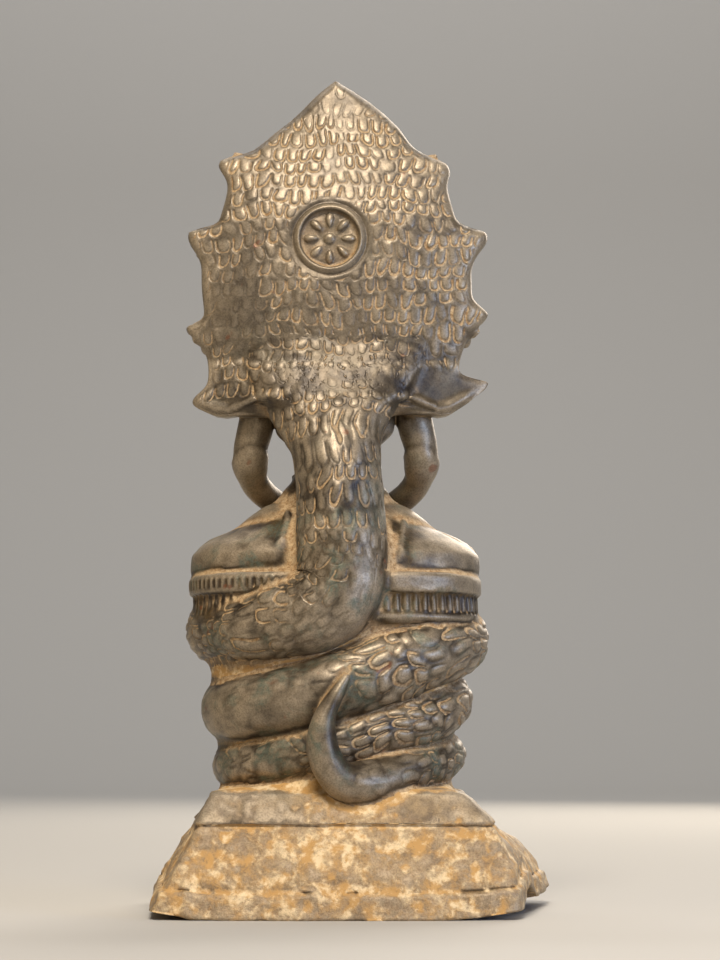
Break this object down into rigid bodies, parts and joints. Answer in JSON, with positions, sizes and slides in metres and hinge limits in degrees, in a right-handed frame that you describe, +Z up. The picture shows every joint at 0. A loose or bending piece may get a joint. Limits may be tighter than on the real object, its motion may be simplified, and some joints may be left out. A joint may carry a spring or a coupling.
{
  "type": "statuette",
  "caption": "Cast bronze shrine statuette: a Buddha seated in meditation on a coiled serpent, its scaled many-headed hood risen behind and over the figure, on a hollow flared plinth.",
  "frame": {"origin": "middle of the bounding box's underside, on the ground under the plinth", "axes": "+Z up the statue; the figure faces -Y, the scaled back of the hood faces +Y, and +X is the figure's left"},
  "size_m": [0.0756, 0.0532, 0.1524],
  "materials": {
    "bronze": "aged dark bronze, worn golden on the high places, with ochre dirt in the relief"
  },
  "bodies": {
    "root": {"statue": "bronze"}
  },
  "joints": []
}
